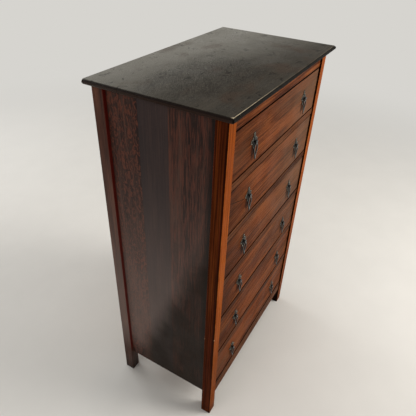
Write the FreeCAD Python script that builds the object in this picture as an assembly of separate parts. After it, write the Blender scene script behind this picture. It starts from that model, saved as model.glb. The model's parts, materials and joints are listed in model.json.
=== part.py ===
import FreeCAD, Part
import math
import os

# A six-drawer tallboy on four square posts, in millimetres. X runs across, the front faces -Y and
# +Z is up. The origin is on the floor, under the middle of the top board.

# Plan
carcass_width = 726.0
carcass_depth = 417.0
top_side_overhang = 23.5
top_front_overhang = 22.5
top_back_overhang = 8.5

# Heights, from the floor up
foot_height = 89.0
bottom_rail_height = 60.0
deep_opening_height = 161.0
shallow_opening_height = 152.0
top_opening_height = 149.0
divider_height = 24.0
top_rail_height = 46.0
top_thickness = 17.0

# Drawers below the top one, counted downwards
shallow_drawers = 3
deep_drawers = 2

# Posts, rails and dividers
post_size = 38.0
post_round = 2.0
rail_thickness = 20.0
edge_round = 1.2
divider_setback = 4.5
face_setback = 6.5
tenon_length = 15.0
tenon_thickness = 9.0
tenon_shoulder = 5.0

# Moulded edge of the top board, as distances in from its outermost line and down from its face
arris_inset = 5.5
quirk_depth = 1.4
quirk_width = 0.9
nose_top = 7.0
nose_bottom = 9.0
nose_undercut = 13.0
ovolo_rise = 0.8
undercut_rise = 1.8
top_corner_radius = 2.0

# Side panels and back panel
panel_thickness = 10.0
panel_setback = 12.0
panel_groove = 7.0
panel_rise = 22.0
back_thickness = 6.0
back_setback = 2.0
back_rebate = 8.0

# Runners, guides, stops and cleats inside the carcass
runner_width = 25.0
runner_height = 20.0
guide_rise = 22.0
stop_width = 18.0
stop_depth = 14.2
stop_height = 18.0
cleat_width = 40.0
side_rail_tenon = 10.0

# Screws that hold the top board
screws_per_cleat = 3
screw_length = 57.0
screw_radius = 2.2
screw_point = 6.0
screw_head_radius = 4.4
screw_head_height = 2.6
screw_slot_width = 1.0
screw_slot_depth = 1.0
screw_end_distance = 45.0

# Drawer boxes
front_thickness = 20.0
side_thickness = 10.0
side_drop = 8.0
side_gap = 1.2
gap_below = 1.0
gap_above = 4.0
runner_clearance = 0.3
stop_clearance = 0.3
lap_thickness = 6.0
tails_per_corner = 3
pin_width = 6.0
tail_flare = 2.0
bottom_thickness = 5.0
bottom_rise = 9.0
bottom_groove = 5.0
back_board_thickness = 10.0
back_board_inset = 12.0
back_board_drop = 6.0
back_board_housing = 4.0

# Handle plates, two on each drawer
handle_spacing = 390.0
handle_rise = 2.0
plate_height = 52.0
plate_width = 43.0
plate_thickness = 1.4
plate_relief = 3.0
field_foot_scale = 0.78
field_top_scale = 0.42
tip_lobe_reach = 8.0
side_lobe_reach = 5.5
lobe_half = 5.8
waist_pull = 1.2

# Pivot bolts, with an eye outside the drawer front and a nut inside it
pivot_reach = 7.6
eye_radius = 3.3
eye_width = 3.2
collar_radius = 4.2
collar_height = 0.9
tongue_height = 4.4
shank_radius = 2.1
shank_clearance = 0.1
nut_size = 9.5
nut_height = 3.5
shank_beyond_nut = 2.0

# Hanging loops
pin_radius = 1.25
pin_clearance = 0.05
cheek_clearance = 0.3
cheek_width = 2.5
loop_thickness = 4.0
loop_top = 4.8
loop_widest = 21.0
loop_foot = 49.0
loop_half_width = 11.6
loop_foot_half = 1.7
loop_band = 3.7
loop_hole_foot = 42.0
loop_hole_foot_half = 0.4
shoulder_out = 0.72
shoulder_down = 0.33
taper_bulge = 0.8
ball_radius = 2.6
ball_drop = 1.3
point_start = 1.6
point_length = 5.4
point_radius = 2.0
point_tip_radius = 0.5

# Places this close together count as one
touching = 0.001

# Heights and places worked out from the sizes above
opening_heights = [top_opening_height]
opening_heights += [shallow_opening_height] * shallow_drawers
opening_heights += [deep_opening_height] * deep_drawers
drawer_count = len(opening_heights)
lowest_opening = foot_height + bottom_rail_height
dividers_height = divider_height * (drawer_count - 1)
cleat_underside = lowest_opening + sum(opening_heights) + dividers_height
posts_top = cleat_underside + top_rail_height
overall_height = posts_top + top_thickness

top_depth = top_front_overhang + carcass_depth + top_back_overhang
front_face = top_front_overhang - top_depth / 2
back_face = front_face + carcass_depth
outer_side = carcass_width / 2
inner_side = outer_side - post_size
front_posts_rear = front_face + post_size
back_posts_front = back_face - post_size
drawer_face = front_face + face_setback
divider_face = front_face + divider_setback
panel_outer = outer_side - panel_setback
panel_inner = panel_outer - panel_thickness
panel_foot = foot_height + panel_rise
back_panel_inner = back_face - back_setback - back_thickness
side_rail_top = lowest_opening - runner_height

front_rear = drawer_face + front_thickness
drawer_rear = back_panel_inner - stop_depth - stop_clearance
side_outer = inner_side - side_gap
side_inner = side_outer - side_thickness
back_board_front = drawer_rear - back_board_inset - back_board_thickness
cheek_inside = eye_width / 2 + cheek_clearance
cheek_outside = cheek_inside + cheek_width


def opening_floors():
    """Floor height of each drawer opening, from the top drawer down."""
    floors = []
    level = cleat_underside
    for height in opening_heights:
        level -= height
        floors.append(level)
        level -= divider_height
    return floors


def block(x0, x1, y0, y1, z0, z1):
    """A box between two opposite corners."""
    size = FreeCAD.Vector(x1 - x0, y1 - y0, z1 - z0)
    return Part.makeBox(size.x, size.y, size.z, FreeCAD.Vector(x0, y0, z0))


def rod(radius, start, end):
    """A round bar from start to end."""
    direction = end.sub(start)
    return Part.makeCylinder(radius, direction.Length, start, direction)


def moved(shape, x, y, z):
    """A copy of the shape, carried by a distance along each axis."""
    copy = shape.copy()
    copy.translate(FreeCAD.Vector(x, y, z))
    return copy


def mirrored(shape):
    """The same shape on the other side of the middle plane."""
    return shape.mirror(FreeCAD.Vector(0, 0, 0), FreeCAD.Vector(1, 0, 0))


def both_sides(shapes):
    """The shapes and their mirror images, as one group of separate solids."""
    return Part.makeCompound(shapes + [mirrored(shape) for shape in shapes])


def rounded(solid, radius, wanted):
    """Rounds each edge whose two end points make wanted(start, end) true."""
    edges = [e for e in solid.Edges if wanted(e.Vertexes[0].Point, e.Vertexes[-1].Point)]
    return solid.makeFillet(radius, edges)


def same(a, b):
    """Whether two places are one, to well below any size here."""
    return abs(a - b) < touching


def outline(steps):
    """A closed wire through (point, middle) steps: an arc through each middle, or a line."""
    edges = []
    for index, (start, middle) in enumerate(steps):
        end = steps[(index + 1) % len(steps)][0]
        if middle is None:
            edges.append(Part.LineSegment(start, end).toShape())
        else:
            edges.append(Part.Arc(start, middle, end).toShape())
    return Part.Wire(edges)


# Top board

def arc_middle(start, end, rise):
    """The middle of an arc that rises to the left of its chord, with depth drawn downwards."""
    run, drop = end[0] - start[0], end[1] - start[1]
    length = math.hypot(run, drop)
    return (start[0] + end[0]) / 2 + rise * drop / length, (start[1] + end[1]) / 2 - rise * run / length


def moulding(outermost, inward):
    """The moulded edge from the face down to the underside, as (across, depth) steps."""
    step = (outermost + inward * (arris_inset - quirk_width), quirk_depth)
    nose_upper = (outermost, nose_top)
    nose_lower = (outermost, nose_bottom)
    underside = (outermost + inward * nose_undercut, top_thickness)
    return [
        ((outermost + inward * arris_inset, 0), None),
        ((outermost + inward * arris_inset, quirk_depth), None),
        (step, arc_middle(step, nose_upper, -inward * ovolo_rise)),
        (nose_upper, None),
        (nose_lower, arc_middle(nose_lower, underside, -inward * undercut_rise)),
        (underside, None),
    ]


def reversed_steps(steps):
    """The same profile walked the other way, with each middle kept between its own two points."""
    points = [point for point, middle in steps][::-1]
    middles = [middle for point, middle in steps][:-1][::-1] + [None]
    return list(zip(points, middles))


def swept_profile(steps, place, travel):
    """A solid from (across, depth below the face) steps, put in space by place and extruded."""
    placed = []
    for point, middle in steps:
        placed.append((place(*point), None if middle is None else place(*middle)))
    return Part.Face(outline(placed)).extrude(travel)


def top_board():
    half_width = outer_side + top_side_overhang
    half_depth = top_depth / 2

    def side_view(y, depth):
        return FreeCAD.Vector(-half_width, y, overall_height - depth)

    def front_view(x, depth):
        return FreeCAD.Vector(x, -half_depth, overall_height - depth)

    flat_back = [((half_depth, top_thickness), None), ((half_depth, 0), None)]
    lengthways = swept_profile(moulding(-half_depth, 1) + flat_back, side_view,
                               FreeCAD.Vector(2 * half_width, 0, 0))
    both_ends = moulding(-half_width, 1) + reversed_steps(moulding(half_width, -1))
    crossways = swept_profile(both_ends, front_view, FreeCAD.Vector(0, top_depth, 0))

    def front_corner(start, end):
        upright = same(start.x, end.x) and same(start.y, end.y)
        return upright and same(start.y, -half_depth)

    plan = block(-half_width, half_width, -half_depth, half_depth, posts_top, overall_height)
    plan = rounded(plan, top_corner_radius, front_corner)
    board = lengthways.common(crossways).common(plan)
    return board.cut(Part.makeCompound(top_screws()))


def top_screws():
    """Countersunk screws up through the cleats into the top board."""
    middle = panel_inner - cleat_width / 2
    first = front_posts_rear + screw_end_distance
    last = back_posts_front - screw_end_distance
    pitch = (last - first) / (screws_per_cleat - 1)
    up = FreeCAD.Vector(0, 0, 1)
    screws = []
    for index in range(screws_per_cleat):
        start = FreeCAD.Vector(middle, first + index * pitch, cleat_underside)
        neck = start + up * screw_head_height
        shoulder = start + up * (screw_length - screw_point)
        screw = Part.makeCone(screw_head_radius, screw_radius, screw_head_height, start, up)
        screw = screw.fuse(rod(screw_radius, neck, shoulder))
        screw = screw.fuse(Part.makeCone(screw_radius, 0, screw_point, shoulder, up))
        slot = block(-screw_head_radius, screw_head_radius, -screw_slot_width / 2, screw_slot_width / 2,
                     0, screw_slot_depth)
        screws.append(screw.cut(moved(slot, start.x, start.y, start.z)))
    return screws + [mirrored(screw) for screw in screws]


def top_cleats():
    """Strips behind the side panels that the top board is screwed to, and that keep drawer 1 level."""
    cleat = block(panel_inner - cleat_width, panel_inner, front_posts_rear, back_posts_front,
                  cleat_underside, posts_top)
    return both_sides([cleat]).cut(Part.makeCompound(top_screws()))


# Rails and dividers between the posts

def cross_tenon(y0, y1, z0, z1):
    """The right-hand tenon of a member that runs across, which is also its mortise."""
    inset = (min(y1 - y0, rail_thickness) - tenon_thickness) / 2
    return block(inner_side, inner_side + tenon_length, y0 + inset, y1 - inset,
                 z0 + tenon_shoulder, z1 - tenon_shoulder)


def cross_member(y0, y1, z0, z1):
    """A rail or divider between two posts, with its front arrises eased and a tenon at each end."""

    def front_arris(start, end):
        lengthways = same(start.y, end.y) and same(start.z, end.z)
        return lengthways and same(start.y, y0)

    tenon = cross_tenon(y0, y1, z0, z1)
    body = rounded(block(-inner_side, inner_side, y0, y1, z0, z1), edge_round, front_arris)
    return body.fuse([tenon, mirrored(tenon)])


def top_rail_place():
    return drawer_face, drawer_face + rail_thickness, cleat_underside, posts_top


def bottom_rail_place():
    return divider_face, divider_face + rail_thickness, foot_height, lowest_opening


def divider_places():
    """One divider under every opening but the lowest."""
    floors = opening_floors()[:-1]
    return [(divider_face, front_posts_rear, floor - divider_height, floor) for floor in floors]


def back_rail_places():
    front = back_panel_inner - rail_thickness
    top = (front, back_panel_inner, cleat_underside, posts_top)
    bottom = (front, back_panel_inner, panel_foot, side_rail_top)
    return [top, bottom]


def bottom_side_rails():
    """Rails behind the feet of the side panels, tenoned into front and back posts."""
    rail = block(inner_side, panel_inner, front_posts_rear, back_posts_front, panel_foot, side_rail_top)
    return both_sides([rail.fuse(side_rail_tenons())])


def side_rail_tenons():
    inset = (panel_inner - inner_side - tenon_thickness) / 2
    tenons = []
    for start in (front_posts_rear - side_rail_tenon, back_posts_front):
        tenons.append(block(inner_side + inset, panel_inner - inset, start, start + side_rail_tenon,
                            panel_foot + tenon_shoulder, side_rail_top - tenon_shoulder))
    return tenons


# Posts and panels

def side_panel():
    """The right-hand panel, held in the grooves of its two posts."""
    return block(panel_inner, panel_outer, front_posts_rear - panel_groove,
                 back_posts_front + panel_groove, panel_foot, posts_top)


def back_panel():
    half = inner_side + back_rebate
    return block(-half, half, back_panel_inner, back_panel_inner + back_thickness, panel_foot, posts_top)


def post(y0, hollows):
    """A right-hand post from the floor to the top board, with its four long arrises eased."""

    def long_arris(start, end):
        return same(start.x, end.x) and same(start.y, end.y)

    body = rounded(block(inner_side, outer_side, y0, y0 + post_size, 0, posts_top), post_round,
                   long_arris)
    return body.cut(Part.makeCompound(hollows))


def front_post():
    places = [top_rail_place(), bottom_rail_place()] + divider_places()
    mortises = [cross_tenon(*place) for place in places]
    return post(front_face, mortises + side_rail_tenons() + [side_panel()])


def back_post():
    mortises = [cross_tenon(*place) for place in back_rail_places()]
    rebate = block(inner_side, inner_side + back_rebate, back_panel_inner, back_face,
                   panel_foot, posts_top)
    return post(back_posts_front, mortises + side_rail_tenons() + [side_panel(), rebate])


# Runners, guides and stops

def runner_fronts():
    """Where each runner starts: behind its divider, and the lowest behind the bottom rail."""
    lowest = divider_face + rail_thickness
    return [front_posts_rear] * (drawer_count - 1) + [lowest]


def drawer_runners():
    """Two strips under each drawer's sides, from the divider to the back panel."""
    runners = []
    for floor, start in zip(opening_floors(), runner_fronts()):
        runners.append(block(inner_side - runner_width, inner_side, start, back_panel_inner,
                             floor - runner_height, floor))
    return both_sides(runners)


def drawer_guides():
    """Strips between the posts that fill out the panel and guide the drawer's sides."""
    guides = []
    for floor in opening_floors():
        guides.append(block(inner_side, panel_inner, front_posts_rear, back_posts_front,
                            floor - runner_height, floor + guide_rise))
    return both_sides(guides)


def drawer_stops():
    """Blocks on the runners that the drawer's sides meet when it is shut."""
    stops = []
    for floor in opening_floors():
        stops.append(block(side_outer - stop_width, side_outer, drawer_rear + stop_clearance,
                           back_panel_inner, floor, floor + stop_height))
    return both_sides(stops)


# Drawers

def box_heights(index):
    """Lowest and highest level of a drawer's sides, and of its front."""
    floor = opening_floors()[index]
    front_foot = floor + gap_below
    front_top = floor + opening_heights[index] - gap_above
    return floor + runner_clearance, front_top - side_drop, front_foot, front_top


def tails(index):
    """The dovetails at the front end of the right-hand side."""
    foot, top, front_foot, front_top = box_heights(index)
    pitch = (top - foot) / tails_per_corner
    end_half = (pitch - pin_width) / 2
    root_half = end_half - tail_flare
    end = drawer_face + lap_thickness
    shapes = []
    for number in range(tails_per_corner):
        middle = foot + pitch * (number + 0.5)
        corners = [(front_rear, middle - root_half), (end, middle - end_half),
                   (end, middle + end_half), (front_rear, middle + root_half)]
        steps = [(FreeCAD.Vector(side_inner, y, z), None) for y, z in corners]
        shapes.append(Part.Face(outline(steps)).extrude(FreeCAD.Vector(side_thickness, 0, 0)))
    return shapes


def bottom_board(index):
    """The bottom, held in grooves of the front and sides, passing under the back."""
    foot = box_heights(index)[0] + bottom_rise
    half = side_inner + bottom_groove
    return block(-half, half, front_rear - bottom_groove, back_board_front + back_board_thickness,
                 foot, foot + bottom_thickness)


def back_board(index):
    """The back of the drawer, housed in its sides and standing on its bottom."""
    foot, top, front_foot, front_top = box_heights(index)
    half = side_inner + back_board_housing
    return block(-half, half, back_board_front, back_board_front + back_board_thickness,
                 foot + bottom_rise + bottom_thickness, top - back_board_drop)


def side_board(index):
    """The right-hand side, with dovetails, the bottom's groove and the back's housing."""
    foot, top, front_foot, front_top = box_heights(index)
    groove_foot = foot + bottom_rise
    groove = block(side_inner, side_inner + bottom_groove, drawer_face, drawer_rear,
                   groove_foot, groove_foot + bottom_thickness)
    board = block(side_inner, side_outer, front_rear, drawer_rear, foot, top)
    return board.fuse(tails(index)).cut([groove, back_board(index)]).removeSplitter()


def front_board(index):
    foot, top, front_foot, front_top = box_heights(index)

    def face_arris(start, end):
        return same(start.y, drawer_face) and same(end.y, drawer_face)

    board = block(-side_outer, side_outer, drawer_face, front_rear, front_foot, front_top)
    board = rounded(board, edge_round, face_arris)
    sockets = tails(index)
    holes = []
    for x, z in handle_places(index):
        holes.append(rod(shank_radius + shank_clearance, FreeCAD.Vector(x, drawer_face, z),
                         FreeCAD.Vector(x, front_rear, z)))
    return board.cut(sockets + [mirrored(s) for s in sockets] + [bottom_board(index)] + holes)


# Handles, drawn about a pivot at x 0 and z 0 with the drawer's face at y 0

def handle_places(index):
    middle = opening_floors()[index] + opening_heights[index] / 2 + handle_rise
    return [(-handle_spacing / 2, middle), (handle_spacing / 2, middle)]


def plate_outline(scale, reach):
    """A lozenge with four lobed points and hollow sides, at a distance out from the drawer."""
    tip_x = lobe_half
    tip_z = plate_height / 2 - tip_lobe_reach
    side_x = plate_width / 2 - side_lobe_reach
    side_z = lobe_half
    waist_x = (tip_x + side_x) / 2 - waist_pull
    waist_z = (tip_z + side_z) / 2 - waist_pull
    quarters = [
        ((tip_x, tip_z), (waist_x, waist_z)),
        ((side_x, side_z), (plate_width / 2, 0)),
        ((side_x, -side_z), (waist_x, -waist_z)),
        ((tip_x, -tip_z), (0, -plate_height / 2)),
        ((-tip_x, -tip_z), (-waist_x, -waist_z)),
        ((-side_x, -side_z), (-plate_width / 2, 0)),
        ((-side_x, side_z), (-waist_x, waist_z)),
        ((-tip_x, tip_z), (0, plate_height / 2)),
    ]

    def place(point):
        return FreeCAD.Vector(point[0] * scale, -reach, point[1] * scale)

    return outline([(place(point), place(middle)) for point, middle in quarters])


def backplate():
    """A thin lobed plate with a raised field, drilled for its bolt."""
    sheet = Part.Face(plate_outline(1, 0)).extrude(FreeCAD.Vector(0, -plate_thickness, 0))
    foot = plate_outline(field_foot_scale, plate_thickness)
    top = plate_outline(field_top_scale, plate_relief)
    field = Part.makeLoft([foot, top], True, True)
    hole = rod(shank_radius + shank_clearance, FreeCAD.Vector(0, 0, 0),
               FreeCAD.Vector(0, -plate_relief, 0))
    return sheet.fuse(field).cut(hole)


def pivot_bolt():
    """A bolt through plate and drawer front, with a flat eye that the loop hangs from."""
    inner_end = FreeCAD.Vector(0, front_thickness + nut_height + shank_beyond_nut, 0)
    seat = FreeCAD.Vector(0, -plate_relief, 0)
    half = eye_width / 2
    collar_face = plate_relief + collar_height
    bolt = rod(shank_radius, inner_end, seat)
    bolt = bolt.fuse(rod(collar_radius, seat, FreeCAD.Vector(0, -collar_face, 0)))
    bolt = bolt.fuse(block(-half, half, -pivot_reach, -plate_relief,
                           -tongue_height / 2, tongue_height / 2))
    bolt = bolt.fuse(rod(eye_radius, FreeCAD.Vector(-half, -pivot_reach, 0),
                         FreeCAD.Vector(half, -pivot_reach, 0)))
    bore = rod(pin_radius + pin_clearance, FreeCAD.Vector(-half, -pivot_reach, 0),
               FreeCAD.Vector(half, -pivot_reach, 0))
    return bolt.cut(bore)


def bolt_nut():
    """A square nut against the inside of the drawer front."""
    half = nut_size / 2
    nut = block(-half, half, front_thickness, front_thickness + nut_height, -half, half)
    return nut.cut(rod(shank_radius, FreeCAD.Vector(0, front_thickness, 0),
                       FreeCAD.Vector(0, front_thickness + nut_height, 0)))


def loop_prism(top, widest, foot, half_width, foot_half):
    """A flat lozenge-like plate, arched above its widest level and tapered below it."""
    shoulder_x = half_width * shoulder_out
    shoulder_z = -(top + (widest - top) * shoulder_down)
    taper_x = (half_width + foot_half) / 2 + taper_bulge
    taper_z = -(widest + foot) / 2
    front = -(pivot_reach + loop_thickness / 2)

    def place(x, z):
        return FreeCAD.Vector(x, front, z)

    steps = [
        (place(0, -top), place(shoulder_x, shoulder_z)),
        (place(half_width, -widest), place(taper_x, taper_z)),
        (place(foot_half, -foot), None),
        (place(-foot_half, -foot), place(-taper_x, taper_z)),
        (place(-half_width, -widest), place(-shoulder_x, shoulder_z)),
    ]
    return Part.Face(outline(steps)).extrude(FreeCAD.Vector(0, loop_thickness, 0))


def hanging_loop():
    """The open drop, forked round the eye and carrying the pin, with a finial at its foot."""
    outer = loop_prism(loop_top, loop_widest, loop_foot, loop_half_width, loop_foot_half)
    hole = loop_prism(loop_top + loop_band, loop_widest, loop_hole_foot,
                      loop_half_width - loop_band, loop_hole_foot_half)
    ring = outer.cut(hole)
    pivot = -pivot_reach
    half = loop_thickness / 2
    cheeks = []
    for x0, x1 in [(cheek_inside, cheek_outside), (-cheek_outside, -cheek_inside)]:
        cheeks.append(rod(eye_radius, FreeCAD.Vector(x0, pivot, 0), FreeCAD.Vector(x1, pivot, 0)))
        cheeks.append(block(x0, x1, pivot - half, pivot + half, -(loop_top + loop_band), 0))
    pin = rod(pin_radius, FreeCAD.Vector(-cheek_outside, pivot, 0),
              FreeCAD.Vector(cheek_outside, pivot, 0))
    ball_middle = FreeCAD.Vector(0, pivot, -(loop_foot + ball_drop))
    ball = Part.makeSphere(ball_radius, ball_middle)
    point = Part.makeCone(point_radius, point_tip_radius, point_length,
                          ball_middle - FreeCAD.Vector(0, 0, point_start), FreeCAD.Vector(0, 0, -1))
    return ring.fuse(cheeks + [pin, ball, point]).removeSplitter()


def handle_fittings(index):
    """Both plates of a drawer with their bolts and nuts, as separate solids."""
    pieces = [backplate(), pivot_bolt(), bolt_nut()]
    placed = [moved(piece, x, drawer_face, z) for piece in pieces for x, z in handle_places(index)]
    return Part.makeCompound(placed)


def loops(index):
    """The left and right loop of a drawer."""
    return [moved(hanging_loop(), x, drawer_face, z) for x, z in handle_places(index)]


def carcass_nodes():
    front = front_post()
    back = back_post()
    panel = side_panel()
    return {
        "top_board": top_board(),
        "front_post_left": mirrored(front),
        "front_post_right": front,
        "back_post_left": mirrored(back),
        "back_post_right": back,
        "side_panel_left": mirrored(panel),
        "side_panel_right": panel,
        "back_panel": back_panel(),
        "top_rail": cross_member(*top_rail_place()),
        "bottom_rail": cross_member(*bottom_rail_place()),
        "drawer_dividers": Part.makeCompound([cross_member(*place) for place in divider_places()]),
        "back_rails": Part.makeCompound([cross_member(*place) for place in back_rail_places()]),
        "bottom_side_rails": bottom_side_rails(),
        "drawer_runners": drawer_runners(),
        "drawer_guides": drawer_guides(),
        "drawer_stops": drawer_stops(),
        "top_cleats": top_cleats(),
        "top_screws": Part.makeCompound(top_screws()),
    }


def drawer_nodes(index):
    name = "drawer_%d_" % (index + 1)
    left_loop, right_loop = loops(index)
    return {
        name + "front": front_board(index),
        name + "sides": both_sides([side_board(index)]),
        name + "back": back_board(index),
        name + "bottom": bottom_board(index),
        name + "backplates": handle_fittings(index),
        name + "loop_left": left_loop,
        name + "loop_right": right_loop,
    }


def all_nodes():
    nodes = carcass_nodes()
    for index in range(drawer_count):
        nodes.update(drawer_nodes(index))
    return nodes


os.makedirs("parts", exist_ok=True)
for node, shape in all_nodes().items():
    shape.exportStep("parts/" + node + ".step")
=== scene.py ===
import cmath
import json
import math

import bmesh
import bpy
from mathutils import Matrix, Vector


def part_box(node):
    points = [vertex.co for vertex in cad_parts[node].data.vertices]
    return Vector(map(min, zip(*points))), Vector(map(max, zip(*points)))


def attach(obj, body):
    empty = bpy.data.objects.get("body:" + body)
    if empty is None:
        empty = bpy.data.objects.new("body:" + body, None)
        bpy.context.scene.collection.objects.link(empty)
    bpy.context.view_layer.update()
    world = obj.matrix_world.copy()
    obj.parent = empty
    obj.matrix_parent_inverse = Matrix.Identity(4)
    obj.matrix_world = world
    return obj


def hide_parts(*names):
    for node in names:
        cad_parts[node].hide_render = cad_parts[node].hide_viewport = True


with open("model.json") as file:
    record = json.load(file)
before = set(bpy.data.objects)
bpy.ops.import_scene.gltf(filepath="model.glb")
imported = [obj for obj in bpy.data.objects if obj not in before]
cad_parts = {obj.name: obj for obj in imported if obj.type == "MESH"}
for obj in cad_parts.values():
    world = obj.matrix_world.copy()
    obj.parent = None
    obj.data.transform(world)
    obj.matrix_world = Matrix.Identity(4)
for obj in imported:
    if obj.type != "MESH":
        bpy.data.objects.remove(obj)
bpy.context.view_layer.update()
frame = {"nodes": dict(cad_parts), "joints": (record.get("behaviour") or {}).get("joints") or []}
nodes = frame["nodes"]
mm = 0.001

# Main places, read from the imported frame
drawer_numbers = range(1, 7)
sides = ("left", "right")
post_low, post_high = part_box("front_post_left")
back_post_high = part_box("back_post_left")[1]
panel_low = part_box("side_panel_left")[0]
top_low, top_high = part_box("top_board")
drawer_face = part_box("drawer_1_front")[0].y
carcass_middle = (post_low.y + back_post_high.y) / 2
pivots = {joint["child"]: Vector(joint["pos_m"]) for joint in frame["joints"] if joint["type"] == "hinge"}

# Camera, as the photograph was taken: metres from the floor under the middle of the carcass, and degrees
camera_offset = Vector((-1.1538, -0.5987, 1.6250))
camera_yaw = 61.09
camera_pitch = -35.39
camera_roll = 2.52
lens_mm = 36.16
sensor_mm = 36.0


def make_camera():
    yaw, pitch, roll = (math.radians(a) for a in (camera_yaw, camera_pitch, camera_roll))
    ahead = Vector((math.sin(yaw) * math.cos(pitch), math.cos(yaw) * math.cos(pitch), math.sin(pitch)))
    level_right = Vector((math.cos(yaw), -math.sin(yaw), 0))
    level_up = level_right.cross(ahead)
    right = level_right * math.cos(roll) + level_up * math.sin(roll)
    up = level_up * math.cos(roll) - level_right * math.sin(roll)
    data = bpy.data.cameras.new("camera")
    data.sensor_width = sensor_mm
    data.lens = lens_mm
    camera = bpy.data.objects.new("camera", data)
    turn = Matrix((right, up, -ahead)).transposed()
    place = camera_offset + Vector((0, carcass_middle, 0))
    camera.matrix_world = Matrix.Translation(place) @ turn.to_4x4()
    bpy.context.scene.collection.objects.link(camera)
    bpy.context.scene.camera = camera


# Shader graphs

def painted(red, green, blue):
    """A colour as it looks on a screen, 0 to 255, in the linear form that shaders take."""
    def linear(value):
        value /= 255
        return value / 12.92 if value <= 0.04045 else ((value + 0.055) / 1.055) ** 2.4
    return (linear(red), linear(green), linear(blue), 1)


black = painted(0, 0, 0)


class Graph:
    """A new material with its shader, and short calls for the nodes that feed it."""

    def __init__(self, name):
        self.material = bpy.data.materials.new(name)
        self.material.use_nodes = True
        self.tree = self.material.node_tree
        self.shader = self.tree.nodes["Principled BSDF"]
        coordinates = self.node("ShaderNodeTexCoord")
        self.point = coordinates.outputs["Object"]
        self.place = self.split(self.point)
        self.facing = self.split(coordinates.outputs["Normal"])
        # What one kind of board adds to the relief and to the roughness
        self.relief = 0.0
        self.dullness = 0.0

    def link(self, value, socket):
        """Feeds a socket with another socket or with a plain value."""
        if isinstance(value, bpy.types.NodeSocket):
            self.tree.links.new(value, socket)
        else:
            socket.default_value = value

    def node(self, kind, inputs=(), **settings):
        made = self.tree.nodes.new(kind)
        for key, value in settings.items():
            setattr(made, key, value)
        for key, value in dict(inputs).items():
            self.link(value, made.inputs[key])
        return made

    def split(self, vector):
        """The three values of a vector."""
        made = self.node("ShaderNodeSeparateXYZ", {0: vector})
        return [made.outputs[axis] for axis in range(3)]

    def vector(self, x, y, z):
        return self.node("ShaderNodeCombineXYZ", {0: x, 1: y, 2: z}).outputs[0]

    def scaled(self, x, y, z):
        """The point on the object, stretched by a factor along each axis."""
        return self.vector(*[self.times(part, factor) for part, factor in zip(self.place, (x, y, z))])

    def math(self, operation, *values):
        made = self.node("ShaderNodeMath", operation=operation)
        for index, value in enumerate(values):
            self.link(value, made.inputs[index])
        return made.outputs[0]

    def add(self, a, b):
        return self.math("ADD", a, b)

    def less(self, a, b):
        return self.math("SUBTRACT", a, b)

    def times(self, a, b):
        return self.math("MULTIPLY", a, b)

    def absolute(self, value):
        return self.math("ABSOLUTE", value)

    def rest(self, share):
        """What a share leaves of the whole."""
        return self.less(1.0, share)

    def away(self, value, centre):
        """How far a value is from a centre, either way."""
        return self.absolute(self.less(value, centre))

    def length(self, *parts):
        """The length of the vector that has these parts."""
        squares = [self.times(part, part) for part in parts]
        total = squares[0]
        for square in squares[1:]:
            total = self.add(total, square)
        return self.math("SQRT", total)

    def ellipse(self, across, up, half_width, half_height):
        """How far out a place lies from the middle of an ellipse: 1 on its line."""
        return self.length(self.times(across, 1 / half_width), self.times(up, 1 / half_height))

    def ramp(self, value, start, end, low=0.0, high=1.0):
        """Eases from low to high as value goes from start to end."""
        made = self.node("ShaderNodeMapRange", interpolation_type="SMOOTHSTEP")
        for index, part in enumerate((value, start, end, low, high)):
            self.link(part, made.inputs[index])
        return made.outputs[0]

    def fall(self, value, start, end):
        """Eases from 1 to 0 as value goes from start to end."""
        return self.ramp(value, start, end, 1.0, 0.0)

    def band(self, value, rising, falling):
        """Eases from 0 to 1 over one (start, end) range, and back to 0 over another."""
        return self.times(self.ramp(value, *rising), self.fall(value, *falling))

    def near(self, distance, reach, core):
        """1 within the core share of a reach, easing to 0 at the whole reach."""
        return self.fall(self.math("DIVIDE", distance, reach), core, 1.0)

    def noise(self, vector, scale=1.0, detail=3.0, roughness=0.55, distortion=0.0):
        made = self.node("ShaderNodeTexNoise", {
            "Vector": vector, "Scale": scale, "Detail": detail, "Roughness": roughness,
            "Distortion": distortion})
        return made.outputs["Fac"]

    def swing(self, noise, width):
        """A noise moved and stretched to swing about nought."""
        return self.times(self.add(noise, -0.5), width)

    def mix(self, share, a, b):
        made = self.node("ShaderNodeMix", data_type="RGBA")
        self.link(share, made.inputs["Factor"])
        self.link(a, made.inputs["A"])
        self.link(b, made.inputs["B"])
        return made.outputs["Result"]

    def tinted(self, colour, tone, share, strength):
        """The colour taken towards a tone by strength where share is 1."""
        return self.mix(self.times(share, strength), colour, tone)

    def shaded(self, colour, share, strength):
        """The colour darkened by strength where share is 1."""
        return self.tinted(colour, black, share, strength)

    def colours(self, value, *stops):
        """A colour picked along (position, colour) stops."""
        made = self.node("ShaderNodeValToRGB", {"Fac": value})
        elements = made.color_ramp.elements
        while len(elements) < len(stops):
            elements.new(0.5)
        for element, (position, colour) in zip(elements, stops):
            element.position = position
            element.color = colour
        return made.outputs["Color"]

    def bump(self, height, distance, strength):
        made = self.node("ShaderNodeBump", {"Height": height, "Distance": distance,
                                            "Strength": strength})
        self.link(made.outputs["Normal"], self.shader.inputs["Normal"])

    def finish(self, colour, roughness, metallic=0.0, specular=0.5):
        self.link(colour, self.shader.inputs["Base Color"])
        self.link(roughness, self.shader.inputs["Roughness"])
        self.link(metallic, self.shader.inputs["Metallic"])
        self.link(specular, self.shader.inputs["Specular IOR Level"])
        return self.material


# Wood

axis_numbers = {"X": 0, "Y": 1, "Z": 2}

# How far apart two boards are taken from one log: along, across and through the grain
board_steps = (0.731, 0.377, 0.193)

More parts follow.
